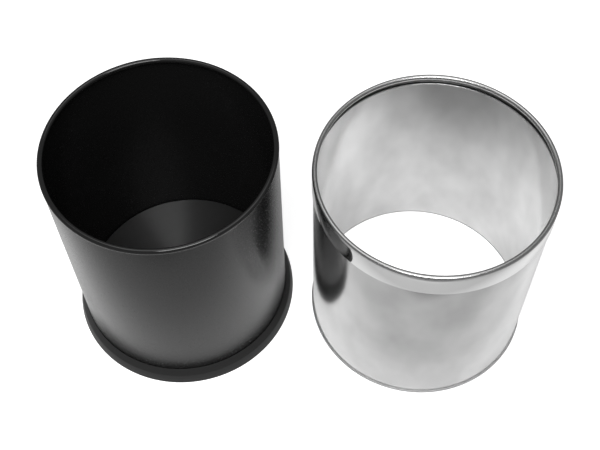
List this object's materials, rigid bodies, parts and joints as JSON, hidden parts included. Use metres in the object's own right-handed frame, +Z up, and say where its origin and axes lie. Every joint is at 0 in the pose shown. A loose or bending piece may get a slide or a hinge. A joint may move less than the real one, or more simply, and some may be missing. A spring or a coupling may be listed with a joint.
{
  "type": "wastebasket",
  "caption": "Round wastebasket in two parts: a black steel inner bin on a plastic base ring, and an open stainless sleeve with a rim collar, standing beside it.",
  "frame": {"origin": "on the ground, at the centre of the rectangle that the bin and the sleeve take up side by side", "axes": "+X from the inner bin to the sleeve, +Z up"},
  "size_m": [0.4984, 0.2414, 0.264],
  "materials": {
    "black_powder_coat": "smooth satin black powder coat",
    "black_plastic": "fine matt black",
    "satin_stainless": "softly polished stainless steel",
    "polished_stainless": "bright polished stainless steel"
  },
  "bodies": {
    "bin": {"bin_shell": "black_powder_coat", "bin_floor": "black_powder_coat", "base_ring": "black_plastic"},
    "sleeve": {"sleeve_shell": "satin_stainless", "rim_collar": "polished_stainless"}
  },
  "joints": [
    {"name": "sleeve_lift", "type": "slide", "parent": "bin", "child": "sleeve", "axis": [0, 0, 1], "range_m": [0, 0.27]}
  ]
}
